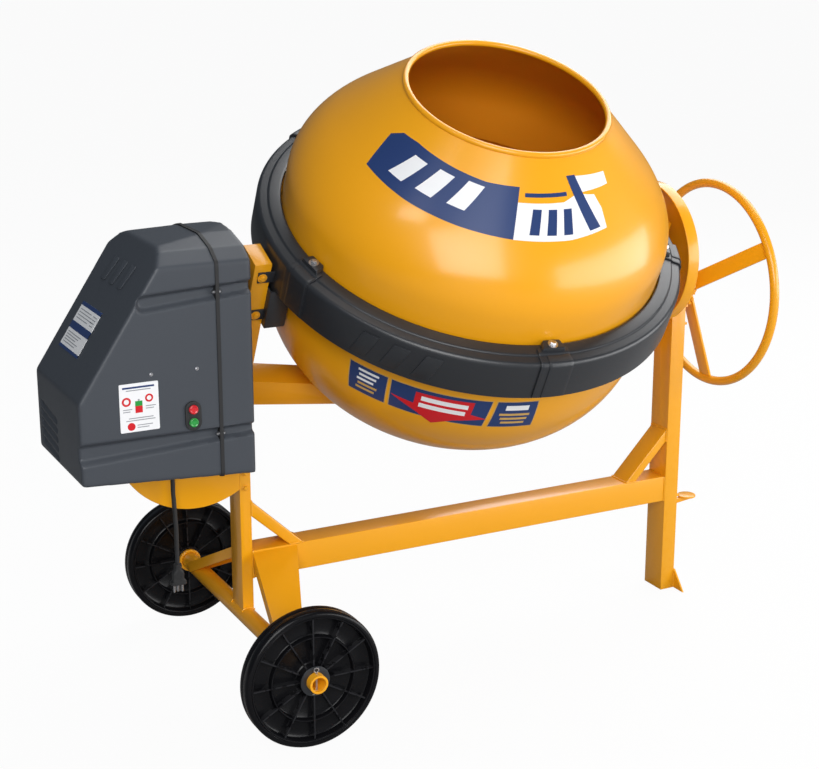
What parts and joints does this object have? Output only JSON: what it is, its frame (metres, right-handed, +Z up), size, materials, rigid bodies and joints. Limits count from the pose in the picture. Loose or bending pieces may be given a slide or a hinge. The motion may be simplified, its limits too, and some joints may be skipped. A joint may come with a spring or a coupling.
{
  "type": "concrete mixer",
  "caption": "Tilting-drum concrete mixer with a geared drum in a yoke, motor cover with belt drive, handwheel with tilting gear and pedal lock, on a wheeled tubular frame.",
  "frame": {"origin": "middle of the footprint's box, on the ground", "axes": "+X from the motor cover to the handwheel, +Y away from the side the drum's mouth leans to, +Z up"},
  "size_m": [1.7464, 0.9702, 1.4639],
  "materials": {
    "yellow_paint": "gloss",
    "cover_plastic": "satin",
    "guard_plastic": "satin",
    "wheel_plastic": "satin",
    "steel": "satin",
    "cast_iron": "matte",
    "rubber": "matte",
    "red_plastic": "gloss",
    "green_plastic": "gloss",
    "motor_paint": "satin"
  },
  "bodies": {
    "frame": {"main_beam": "yellow_paint", "wheel_post": "yellow_paint", "leg_post": "yellow_paint", "leg_brace": "yellow_paint", "post_brace": "yellow_paint", "axle_gussets": "yellow_paint", "axle_tube": "yellow_paint", "foot_plate": "yellow_paint", "trunnion_bearings": "cast_iron", "handwheel_bushes": "cast_iron", "motor_plate": "yellow_paint", "motor_body": "motor_paint", "drive_belt": "rubber", "cover_outer": "cover_plastic", "cover_inner": "cover_plastic", "seam_strap": "rubber", "cover_screws": "steel", "switch_box": "guard_plastic", "cord_gland": "rubber", "power_cord": "rubber", "plug_body": "guard_plastic", "plug_pins": "steel", "axle_collars": "yellow_paint", "axle_washers": "steel", "cotter_pins": "steel", "rod_guides": "yellow_paint"},
    "start_button": {"start_button": "green_plastic"},
    "stop_button": {"stop_button": "red_plastic"},
    "wheel_front": {"wheel_front": "wheel_plastic"},
    "wheel_rear": {"wheel_rear": "wheel_plastic"},
    "handwheel": {"handwheel": "yellow_paint", "handwheel_shaft": "steel", "tilt_pinion": "cast_iron", "lock_wheel": "yellow_paint"},
    "lock_pedal": {"lock_rod": "steel", "pedal_arm": "yellow_paint", "pedal_pad": "yellow_paint", "pedal_spring": "steel"},
    "yoke": {"yoke_arm_left": "yellow_paint", "yoke_arm_right": "yellow_paint", "yoke_beam": "yellow_paint", "trunnion_tube": "steel", "trunnion_stub": "steel", "tilt_disc": "yellow_paint", "tilt_gear": "cast_iron", "gear_guard": "guard_plastic", "guard_clips": "guard_plastic", "guard_brackets": "guard_plastic", "pinion_guard": "guard_plastic", "spindle_housing": "cast_iron"},
    "pinion": {"pinion_gear": "cast_iron", "pinion_shaft": "steel", "driven_pulley": "cast_iron"},
    "motor_rotor": {"motor_pulley": "cast_iron"},
    "drum": {"drum_bowl": "yellow_paint", "drum_cone": "yellow_paint", "ring_gear": "cast_iron", "mixing_blades": "yellow_paint", "drum_spindle": "steel"}
  },
  "joints": [
    {"name": "yoke_tilt", "type": "hinge", "parent": "frame", "child": "yoke", "pos_m": [0.1142, 0.03337, 0.9185], "axis": [1, 0, 0], "range_deg": [-153, 99]},
    {"name": "drum_spin", "type": "hinge", "parent": "yoke", "child": "drum", "pos_m": [0.1142, 0.03337, 0.9185], "axis": [0, -0.4462, 0.8949], "continuous": true},
    {"name": "pinion_spin", "type": "hinge", "parent": "yoke", "child": "pinion", "pos_m": [0.1142, 0.03337, 0.9185], "axis": [1, 0, 0], "continuous": true},
    {"name": "motor_spin", "type": "hinge", "parent": "frame", "child": "motor_rotor", "pos_m": [-0.5292, 0.08337, 0.672], "axis": [1, 0, 0], "continuous": true},
    {"name": "handwheel_turn", "type": "hinge", "parent": "frame", "child": "handwheel", "pos_m": [0.7808, 0.03337, 0.8185], "axis": [1, 0, 0], "range_deg": [-400, 616]},
    {"name": "wheel_front_roll", "type": "hinge", "parent": "frame", "child": "wheel_front", "pos_m": [-0.4592, -0.36013, 0.1575], "axis": [0, 1, 0], "continuous": true},
    {"name": "wheel_rear_roll", "type": "hinge", "parent": "frame", "child": "wheel_rear", "pos_m": [-0.4592, 0.42687, 0.1575], "axis": [0, 1, 0], "continuous": true},
    {"name": "start_press", "type": "slide", "parent": "frame", "child": "start_button", "axis": [0, 1, 0], "range_m": [0, 0.004], "stiffness_N_per_m": 500},
    {"name": "stop_press", "type": "slide", "parent": "frame", "child": "stop_button", "axis": [0, 1, 0], "range_m": [0, 0.004], "stiffness_N_per_m": 500},
    {"name": "lock_lift", "type": "slide", "parent": "frame", "child": "lock_pedal", "axis": [0, 0, 1], "range_m": [0, 0.01], "deforming": ["pedal_spring"]}
  ],
  "couplings": [
    {"joint": "pinion_spin", "follows": "drum_spin", "ratio": 11.667},
    {"joint": "motor_spin", "follows": "drum_spin", "ratio": 35},
    {"joint": "handwheel_turn", "follows": "yoke_tilt", "ratio": -4}
  ]
}
